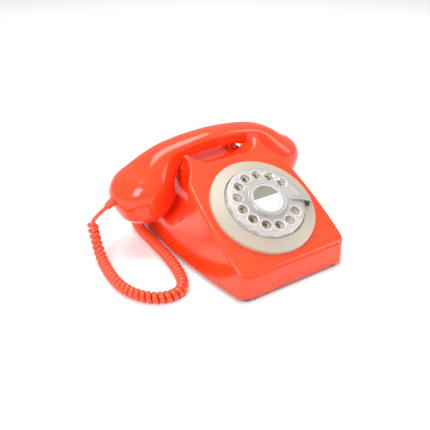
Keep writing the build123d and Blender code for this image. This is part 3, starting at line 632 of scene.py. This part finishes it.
def side_hollow(x, y, z):
    """Hollows beside the cradle that the ends of the handset hang in."""
    grow = np.maximum(np.abs(x) - tower_half, -10 * mm)
    middle_y, half_y = front_y + 148.0 * mm, 33.0 * mm
    low, high = 44.0 * mm - 0.65 * grow, 95.0 * mm + grow
    corner = np.maximum(14.0 * mm + grow, 4 * mm)
    flat = rounded_box(y - middle_y, z - (low + high) / 2, half_y + grow, (high - low) / 2, corner)
    return round_cut(diagonal * flat, tower_half - np.abs(x), 5.0 * mm)


def cradle_seat(x, y, z):
    """V-shaped seat under the handle, over an arched floor."""
    away = np.abs(y - handset_y)
    steep = (away - 5.0 * mm - slot_slope * (z - slot_base)) / math.hypot(1, slot_slope)
    open_v = (away - seat_half_width - seat_slope * (z - seat_height)) / math.hypot(1, seat_slope)
    floor = cradle_floor - cradle_floor_drop * (x / tower_half) ** 2
    return round_cut(round_join(steep, open_v, 2.0 * mm), (floor - z) * 0.9, 4.0 * mm)


def finger_pocket(x, y, z):
    """Sloping hollow in the middle of the cradle."""
    rise = z - cradle_floor
    flat = rounded_box(x, y - handset_y, pocket_half[0] + rise, pocket_half[1] + rise, 12.0 * mm)
    return round_cut(diagonal * flat, -rise, 4.0 * mm)


def case_solid(x, y, z):
    """The case without its underside, before it is hollowed."""
    panel = (z - chin_height) * math.cos(panel_angle) - (y - front_y) * math.sin(panel_angle)
    rear = (y - horn_rear) * math.sin(rear_angle) + (z - horn_top) * math.cos(rear_angle)
    body = round_cut(side_distance(x, y, z), panel, 2.6 * mm)
    body = round_cut(body, z - horn_top, 1.5 * mm)
    body = round_cut(body, rear, 3.0 * mm)
    body = round_cut(body, -side_hollow(x, y, z), 1.6 * mm)
    body = round_cut(body, -cradle_seat(x, y, z), 1.4 * mm)
    return round_cut(body, -finger_pocket(x, y, z), 2.0 * mm)


dial_joint = next(j for j in frame["joints"] if j["name"] == "dial_turn")
dial_centre = Vector(dial_joint["pos_m"])
dial_normal = Vector(dial_joint["axis"]).normalized()
dial_up = dial_normal.cross(Vector((1, 0, 0)))
dial_opening = 42.0 * mm
pin_low, pin_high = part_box("cradle_plunger_left")
pin_radius = (pin_high.x - pin_low.x) / 2 + 0.15 * mm
pin_x = -(pin_low.x + pin_high.x) / 2
jack_low, jack_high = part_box("line_jack")
jack_middle = (jack_low + jack_high) / 2
gland_low, gland_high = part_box("cord_gland")
gland_x = (gland_low.x + gland_high.x) / 2
gland_z = 13.0 * mm
gland_radius = (gland_high.x - gland_low.x) / 2 + 0.2 * mm


def case_field(points):
    """The finished moulding: hollow, open below, with its openings."""
    x, y, z = points.T
    outer = case_solid(x, y, z)
    shell = np.maximum(outer, -(outer + case_wall))
    shell = round_cut(shell, case_bottom - z, 0.8 * mm)
    offset = points - np.array(dial_centre)
    height = offset @ np.array(dial_normal)
    radius = np.sqrt(np.maximum((offset**2).sum(axis=1) - height**2, 0))
    well = np.maximum(radius - dial_opening, np.abs(height) - 12 * mm)
    pins = np.maximum(np.hypot(np.abs(x) - pin_x, y - handset_y) - pin_radius, 60 * mm - z)
    socket = np.maximum(rounded_box(x - jack_middle.x, z - jack_middle.z, 7.2 * mm, 6.2 * mm, 0.6 * mm), -y)
    gland = np.maximum(np.hypot(x - gland_x, z - gland_z) - gland_radius, -y)
    for opening in (well, pins, socket, gland):
        shell = np.maximum(shell, -opening)
    return shell


# %% Skin the case
case_step = 1.35 * mm
moulded_case = skin("moulded_case", case_field, case_low, case_high, case_step)
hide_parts("upper_housing")
settle(moulded_case, "case", finishes["case_gloss"])


# %% [markdown]
# ## The handset
# The handset is one moulding: an arched bar with flat flanks runs into two round ends, which
# lean outwards. The bar's top edges stay crisp along the middle and melt into the ends. Drawn
# as a mesh, that blend needs many hand-placed loops; a rounded join between a bar and two
# domes gives it at once. Both halves are alike, so the formula is written for one of them.

# %% The handset as a distance
shell_low, shell_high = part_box("handset_shell")
end_x = 73.4 * mm
end_z = 37.7 * mm
end_tilt = math.radians(20.0)
end_radius = 33.0 * mm
cap_height = 11.0 * mm
dome_start = 27.0 * mm
dome_rise = 23.5 * mm
bar_top = 109.6 * mm
bar_bottom = 91.2 * mm
bar_half_width = 14.0 * mm
bar_arch_drop = 12.6 * mm
bar_arch_span = 81 * mm
bar_crown = 4.0 * mm
droop_start = 52 * mm
droop_depth = 10.0 * mm
droop_span = 30 * mm
underside_drop = 9.0 * mm
underside_span = 46 * mm
join_radius = 18.0 * mm


def end_distance(across, along_axis):
    """One round end: a short drum that closes in a full dome."""
    below = np.clip(dome_start - along_axis, 0, None)
    drum = end_radius - 1.8 * mm * (below / (16 * mm)) ** 2
    rise = np.clip(along_axis - dome_start, 0, None)
    power = 2.25
    reach = ((across / drum) ** power + (rise / dome_rise) ** power) ** (1 / power)
    return (reach - 1) * 27 * mm


def bar_distance(x, y, z):
    """Arched bar for x from 0 up, waisted in the middle, with a crowned top and flat flanks."""
    half = bar_half_width + 3.0 * mm * (x / (91 * mm)) ** 2
    droop = droop_depth * (np.maximum(x - droop_start, 0) / droop_span) ** 2
    top = bar_top - bar_arch_drop * (x / bar_arch_span) ** 2 - droop - bar_crown * (y / half) ** 2
    bottom = bar_bottom - underside_drop * (x / underside_span) ** 3
    flank = (np.abs(y) - half + 0.12 * (top - z)) * 0.99
    top_edge = 3.4 * mm + 5.0 * mm * np.minimum(x / (75 * mm), 1) ** 4
    bar = round_cut((z - top) * 0.96, flank, top_edge)
    return round_cut(bar, (bottom - z) * 0.96, 3.0 * mm)


def handset_field(points):
    """Bar and ends joined, cut flat where the caps screw on."""
    x, y, z = points.T
    x, y = np.abs(x), y - handset_y
    out = (x - end_x) * math.cos(end_tilt) - (z - end_z) * math.sin(end_tilt)
    high = (x - end_x) * math.sin(end_tilt) + (z - end_z) * math.cos(end_tilt)
    end = end_distance(np.hypot(out, y), high)
    bar = round_cut(bar_distance(x, y, z), out - 6.0 * mm, 24.0 * mm)
    whole = round_join(end, bar, join_radius)
    return round_cut(whole, cap_height + 0.15 * mm - high, 0.7 * mm)


# %% Skin the handset
handset_step = 1.1 * mm
moulded_handset = skin("moulded_handset", handset_field, shell_low, shell_high, handset_step)
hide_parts("handset_shell")
settle(moulded_handset, "handset", finishes["case_gloss"])


# %% [markdown]
# ## The dial
# The finger wheel is a clear moulding about 3 mm thick that swells to a hub. Each finger hole
# has a raised, rounded rim that catches the light. The digits are printed on the plate
# below, so they show through the holes. The wheel is skinned like the case; its rims
# repeat, so one rim is made and Geometry Nodes copy it round the circle.

# %% Sizes of the dial
hole_count = 12
first_hole = math.radians(26.0)
hole_step = math.radians(26.3)
hole_circle = 29.7 * mm
hole_radius = 5.9 * mm
wheel_radius = 39.8 * mm
wheel_low = 7.6 * mm
wheel_edge = 11.1 * mm
wheel_crown = 13.0 * mm
hub_radius = 19.8 * mm
plate_top = 5.0 * mm
card_radius = 16.0 * mm
hub_top = 14.9 * mm
rim_bead = 0.85 * mm
rim_level = 12.0 * mm
dial_frame = Matrix((
    (1.0, dial_up.x, dial_normal.x, dial_centre.x),
    (0.0, dial_up.y, dial_normal.y, dial_centre.y),
    (0.0, dial_up.z, dial_normal.z, dial_centre.z),
    (0.0, 0.0, 0.0, 1.0),
))


def on_dial(obj):
    """Move a mesh drawn flat round the origin to the dial, into its own points."""
    obj.data.transform(dial_frame)
    obj.data.update()
    return obj


def hole_angles():
    """Angle of each finger hole, anticlockwise from the right."""
    return [first_hole + i * hole_step for i in range(hole_count)]


# %% Finger wheel
def wheel_field(points):
    """Domed clear disc with its finger holes and the bore of the hub."""
    offset = points - np.array(dial_centre)
    u = offset[:, 0]
    v = offset @ np.array(dial_up)
    height = offset @ np.array(dial_normal)
    radius = np.hypot(u, v)
    swell = np.clip((wheel_radius - radius) / (wheel_radius - hub_radius), 0, 1)
    top = wheel_edge + (wheel_crown - wheel_edge) * np.sqrt(swell)
    disc = round_cut(radius - wheel_radius, height - top, 1.2 * mm)
    disc = round_cut(disc, wheel_low + 0.1 * mm - height, 0.5 * mm)
    hub = round_cut(radius - card_radius, height - hub_top, 0.3 * mm)
    disc = np.minimum(disc, np.maximum(hub, wheel_low + 0.1 * mm - height))
    for angle in hole_angles():
        hole = hole_radius - np.hypot(u - hole_circle * math.cos(angle), v - hole_circle * math.sin(angle))
        disc = round_cut(disc, hole, 0.5 * mm)
    return np.maximum(disc, 3.1 * mm - radius)


wheel_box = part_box("finger_wheel")
clear_wheel = skin("clear_finger_wheel", wheel_field, wheel_box[0], wheel_box[1], 0.5 * mm)
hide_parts("finger_wheel")
settle(clear_wheel, "dial_wheel", finishes["wheel_clear"])


# %% Rims of the finger holes, by Geometry Nodes
def rim_tree(material):
    """A round bead bent to a ring, copied to each hole of the wheel."""
    tree = bpy.data.node_groups.new("hole_rims", "GeometryNodeTree")
    names = {}
    for label, kind, value in (
        ("Hole Radius", "NodeSocketFloat", hole_radius), ("Bead Radius", "NodeSocketFloat", rim_bead),
        ("Circle Radius", "NodeSocketFloat", hole_circle), ("First Angle", "NodeSocketFloat", first_hole),
        ("Angle Step", "NodeSocketFloat", hole_step), ("Count", "NodeSocketInt", hole_count),
        ("Level", "NodeSocketFloat", 0.0),
    ):
        socket = tree.interface.new_socket(label, in_out="INPUT", socket_type=kind)
        socket.default_value = value
        names[label] = socket.identifier
    tree.interface.new_socket("Geometry", in_out="OUTPUT", socket_type="NodeSocketGeometry")
    start = tree.nodes.new("NodeGroupInput")
    end = tree.nodes.new("NodeGroupOutput")

    def node(kind, **inputs):
        made = tree.nodes.new(kind)
        for label, value in inputs.items():
            socket = made.inputs[label.replace("_", " ")]
            if isinstance(value, bpy.types.NodeSocket):
                tree.links.new(value, socket)
            else:
                socket.default_value = value
        return made

    ring = node("GeometryNodeCurvePrimitiveCircle", Resolution=28, Radius=start.outputs["Hole Radius"])
    bead = node("GeometryNodeCurvePrimitiveCircle", Resolution=8, Radius=start.outputs["Bead Radius"])
    rim = node("GeometryNodeCurveToMesh", Curve=ring.outputs[0], Profile_Curve=bead.outputs[0])
    spots = node("GeometryNodePoints", Count=start.outputs["Count"])
    number = tree.nodes.new("GeometryNodeInputIndex")
    turn = tree.nodes.new("ShaderNodeMath")
    turn.operation = "MULTIPLY_ADD"
    tree.links.new(number.outputs[0], turn.inputs[0])
    tree.links.new(start.outputs["Angle Step"], turn.inputs[1])
    tree.links.new(start.outputs["First Angle"], turn.inputs[2])
    place = tree.nodes.new("ShaderNodeCombineXYZ")
    for axis, operation in enumerate(("COSINE", "SINE")):
        wave = tree.nodes.new("ShaderNodeMath")
        wave.operation = operation
        reach = tree.nodes.new("ShaderNodeMath")
        reach.operation = "MULTIPLY"
        tree.links.new(turn.outputs[0], wave.inputs[0])
        tree.links.new(wave.outputs[0], reach.inputs[0])
        tree.links.new(start.outputs["Circle Radius"], reach.inputs[1])
        tree.links.new(reach.outputs[0], place.inputs[axis])
    tree.links.new(start.outputs["Level"], place.inputs[2])
    put = node("GeometryNodeSetPosition", Geometry=spots.outputs[0], Position=place.outputs[0])
    copies = node("GeometryNodeInstanceOnPoints", Points=put.outputs[0], Instance=rim.outputs[0])
    real = node("GeometryNodeRealizeInstances", Geometry=copies.outputs[0])
    shade = node("GeometryNodeSetShadeSmooth", Geometry=real.outputs[0])
    finish_node = tree.nodes.new("GeometryNodeSetMaterial")
    finish_node.inputs["Material"].default_value = material
    tree.links.new(shade.outputs[0], finish_node.inputs["Geometry"])
    tree.links.new(finish_node.outputs[0], end.inputs["Geometry"])
    return tree, names


def mesh_from_tree(name, tree, names, **values):
    """Plain mesh object from a tree, with its inputs set by identifier."""
    holder = mesh_object(name + "_holder", [(0, 0, 0)], [])
    modifier = holder.modifiers.new("tree", "NODES")
    modifier.node_group = tree
    for label, value in values.items():
        modifier[names[label.replace("_", " ")]] = value
    bpy.context.view_layer.update()
    graph = bpy.context.evaluated_depsgraph_get()
    mesh = bpy.data.meshes.new_from_object(holder.evaluated_get(graph))
    holder.modifiers.remove(modifier)
    bpy.data.objects.remove(holder)
    mesh.name = name
    made = bpy.data.objects.new(name, mesh)
    bpy.context.scene.collection.objects.link(made)
    return made


# The rims are the clear wheel made whiter and less see-through: a painted highlight for the light they catch.
finishes["rim_clear"] = finish("rim_painted_highlight", (0.95, 0.93, 0.93), 0.16,
                               transmission=0.55, ior=1.47, dust=0.1)
rims, rim_names = rim_tree(finishes["rim_clear"])
hole_rims = on_dial(mesh_from_tree("finger_hole_rims", rims, rim_names, Level=rim_level))
settle(hole_rims, "dial_wheel", finishes["rim_clear"])


# %% [markdown]
# ## Digits and card
# The digits are raised only by the thickness of ink. They could be painted in a texture, but as
# text made a mesh they stay sharp at any distance. They stand off the middle of the holes,
# towards the upper right. The card in the middle has a grey band above and plain paper below,
# and its material draws both from the distance to the band's edge.

# %% Digits on the plate
ink_thickness = 0.02 * mm
stroke_widening = 0.22 * mm
ink = finish("print_ink", (0.02, 0.02, 0.02), 0.5, ripple=2000.0, depth=0.005, dust=0.02)


def printed(name, text, size, place, body, material, lift):
    """Flat text at a place on the dial, as a mesh."""
    curve = bpy.data.curves.new(name, "FONT")
    curve.body = text
    curve.size = size
    curve.align_x = "CENTER"
    curve.align_y = "CENTER"
    curve.extrude = ink_thickness
    curve.offset = stroke_widening
    label = bpy.data.objects.new(name + "_text", curve)
    bpy.context.scene.collection.objects.link(label)
    bpy.context.view_layer.update()
    mesh = bpy.data.meshes.new_from_object(label)
    bpy.data.objects.remove(label)
    made = bpy.data.objects.new(name, mesh)
    bpy.context.scene.collection.objects.link(made)
    mesh.transform(Matrix.Translation((place[0], place[1], lift)))
    on_dial(made)
    return settle(made, body, material)


digit_size = 6.8 * mm
digit_shift = (3.4 * mm, 2.6 * mm)
for index, digit in enumerate("1234567890"):
    angle = first_hole + index * hole_step
    place = (hole_circle * math.cos(angle) + digit_shift[0], hole_circle * math.sin(angle) + digit_shift[1])
    printed("digit_" + digit, digit, digit_size, place, "case", ink, plate_top + 0.06 * mm)


# %% Two-tone card
band_edge = 1.8 * mm
line_low = -0.6 * mm
line_high = -0.2 * mm
print_radius = 14.8 * mm
band_colour = (0.19, 0.175, 0.14)
line_colour = (0.20, 0.21, 0.20)


def card_finish():
    """Paper with a warm grey band above a ruled line, in the dial's own directions."""
    material = finish("two_tone_card", (0.64, 0.64, 0.63), 0.55, ripple=1500.0, depth=0.01, dust=0.02)
    tree = material.node_tree
    shader = tree.nodes["Principled BSDF"]
    paper = shader.inputs["Base Color"].links[0].from_socket
    place = tree.nodes.new("ShaderNodeTexCoord")
    turn = tree.nodes.new("ShaderNodeMapping")
    turn.vector_type = "TEXTURE"
    turn.inputs["Location"].default_value = dial_centre
    turn.inputs["Rotation"].default_value = (panel_angle, 0.0, 0.0)
    split = tree.nodes.new("ShaderNodeSeparateXYZ")
    tree.links.new(place.outputs["Object"], turn.inputs["Vector"])
    tree.links.new(turn.outputs[0], split.inputs[0])
    band = math_node(tree, "GREATER_THAN", split.outputs["Y"], band_edge)
    across = math_node(tree, "MULTIPLY", split.outputs["X"], split.outputs["X"])
    upward = math_node(tree, "MULTIPLY", split.outputs["Y"], split.outputs["Y"])
    radius = math_node(tree, "SQRT", math_node(tree, "ADD", across, upward))
    inside = math_node(tree, "LESS_THAN", radius, print_radius)
    printed_band = math_node(tree, "MULTIPLY", band, inside)
    above = math_node(tree, "GREATER_THAN", split.outputs["Y"], line_low)
    below = math_node(tree, "LESS_THAN", split.outputs["Y"], line_high)
    line = math_node(tree, "MULTIPLY", math_node(tree, "MULTIPLY", above, below), inside)
    banded = mix_colour(tree, printed_band, paper, band_colour)
    tree.links.new(mix_colour(tree, line, banded, line_colour), shader.inputs["Base Color"])
    return material


frame["nodes"]["number_card"].data.materials.clear()
frame["nodes"]["number_card"].data.materials.append(card_finish())


def cover_finish():
    """Thin clear film: mostly see-through, with a gloss over it."""
    material = finish("clear_cover", (0.97, 0.97, 0.97), 0.05, dust=0.03)
    tree = material.node_tree
    shader = tree.nodes["Principled BSDF"]
    output = tree.nodes["Material Output"]
    clear = tree.nodes.new("ShaderNodeBsdfTransparent")
    gloss = tree.nodes.new("ShaderNodeMixShader")
    gloss.inputs[0].default_value = 0.04
    tree.links.new(clear.outputs[0], gloss.inputs[1])
    tree.links.new(shader.outputs[0], gloss.inputs[2])
    tree.links.new(gloss.outputs[0], output.inputs["Surface"])
    return material


frame["nodes"]["card_cover"].data.materials.clear()
frame["nodes"]["card_cover"].data.materials.append(cover_finish())
plate_finish = finish("tan_plate", (0.66, 0.55, 0.43), 0.5, ripple=900.0, depth=0.01)
frame["nodes"]["number_plate"].data.materials.clear()
frame["nodes"]["number_plate"].data.materials.append(plate_finish)
print("card banded, digits printed")


# %% [markdown]
# ## Finger stop
# The stop is a thin curved blade. It starts as a point over the wheel, widens to the bezel and
# turns down into it. A grid of points follows that shape, and Solidify and Bevel give it
# thickness and soft edges afterwards, which is simpler than modelling both faces.

# %% Blade of the finger stop
stop_angle = math.radians(-19.0)
stop_inner = 24.6 * mm
stop_reach = 22.2 * mm
stop_level = 14.4 * mm
turn_down = 9.2 * mm


def stop_blade():
    """Curved blade between the wheel and the bezel."""
    steps, across_steps = 28, 10
    points = []
    for i in range(steps + 1):
        share = i / steps
        reach = stop_inner + stop_reach * share
        half = (0.5 + 3.9 * share**0.8) * mm
        bend = 1.4 * mm * math.sin(math.pi * share)
        for k in range(across_steps + 1):
            side = 2 * k / across_steps - 1
            sweep = side * half + bend
            level = stop_level + 1.2 * mm * share + 0.8 * mm * side**2 * share
            drop = max(0.0, share - 0.86) / 0.14
            level -= turn_down * drop**2
            u = reach * math.cos(stop_angle) - sweep * math.sin(stop_angle)
            v = reach * math.sin(stop_angle) + sweep * math.cos(stop_angle)
            points.append((u, v, level))
    row = across_steps + 1
    faces = [(i * row + k, (i + 1) * row + k, (i + 1) * row + k + 1, i * row + k + 1)
             for i in range(steps) for k in range(across_steps)]
    blade = mesh_object("finger_stop_blade", points, faces)
    thick = blade.modifiers.new("thickness", "SOLIDIFY")
    thick.thickness = 0.9 * mm
    thick.offset = -1.0
    soft = blade.modifiers.new("soft_edges", "BEVEL")
    soft.width = 0.25 * mm
    soft.segments = 2
    graph = bpy.context.evaluated_depsgraph_get()
    mesh = bpy.data.meshes.new_from_object(blade.evaluated_get(graph))
    blade.modifiers.clear()
    blade.data = mesh
    return on_dial(blade)


finger_stop = stop_blade()
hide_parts("finger_stop")
settle(finger_stop, "case", finishes["stop_metal"])


# %% [markdown]
# ## Strain relief
# The sleeve where the cord leaves the handset is ribbed, so that it bends in a wide curve. Its
# ribs follow its length, so the tube helper makes it, with a radius that falls and waves.

# %% Ribbed strain relief
def ribbed_sleeve(start, end, root_radius, tip_radius, ribs):
    """Tapered sleeve with ribs over its outer half."""
    steps = 72
    share = np.linspace(0.0, 1.0, steps)
    line = np.array(start)[None, :] + share[:, None] * (np.array(end) - np.array(start))[None, :]
    taper = root_radius + (tip_radius - root_radius) * share
    wave = 0.5 + 0.5 * np.cos(2 * math.pi * ribs * (share - 0.3) / 0.66)
    grooves = np.where((share > 0.3) & (share < 0.96), 0.75 * mm * (1 - wave**0.5), 0.0)
    return tube_mesh("ribbed_strain_relief", line, taper - grooves, 24)


relief_root, relief_tip = from_front([(-108.6, 150.0, 61.2), (-121.6, 150.0, 53.2)])
sleeve = ribbed_sleeve(relief_root, relief_tip, 5.2 * mm, 4.1 * mm, 4)
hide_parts("strain_relief")
settle(sleeve, "handset", finishes["cord_plastic"])

# %% [markdown]
# ## Stage
# A pale sheet runs under the telephone, and large soft lights stand left, right and above, so
# that the gloss shows broad reflections with soft ends and the shadow stays close to the feet.

# %% Floor, world and lights
def sheet_floor(size):
    """Plain floor at desk level."""
    half = size / 2
    corners = [(-half, -half, 0), (half, -half, 0), (half, half, 0), (-half, half, 0)]
    floor = mesh_object("desk", corners, [(0, 1, 2, 3)])
    material = bpy.data.materials.new("white_paper")
    material.use_nodes = True
    shader = material.node_tree.nodes["Principled BSDF"]
    shader.inputs["Base Color"].default_value = (0.95, 0.95, 0.95, 1.0)
    shader.inputs["Roughness"].default_value = 0.8
    shader.inputs["Specular IOR Level"].default_value = 0.1
    floor.data.materials.append(material)
    return floor


def soft_light(name, place, size, power, target=(0.0, 0.0, 0.04)):
    """Square light that faces the telephone."""
    data = bpy.data.lights.new(name, "AREA")
    data.shape = "RECTANGLE"
    data.size, data.size_y = size
    data.energy = power
    light = bpy.data.objects.new(name, data)
    light.location = place
    light.rotation_euler = (Vector(target) - Vector(place)).to_track_quat("-Z", "Y").to_euler()
    bpy.context.scene.collection.objects.link(light)
    return light


sheet_floor(6.0)
world = bpy.data.worlds.new("studio")
world.use_nodes = True
world.node_tree.nodes["Background"].inputs["Color"].default_value = (1.0, 1.0, 1.0, 1.0)
world.node_tree.nodes["Background"].inputs["Strength"].default_value = 0.55
bpy.context.scene.world = world
soft_light("key_left", (-0.9, -0.5, 0.9), (0.45, 0.8), 12.0)
soft_light("fill_right", (1.0, -0.7, 0.7), (0.5, 0.9), 5.0)
soft_light("top", (0.1, 0.3, 1.3), (0.9, 0.9), 15.0)
bpy.context.scene.view_settings.view_transform = "Standard"
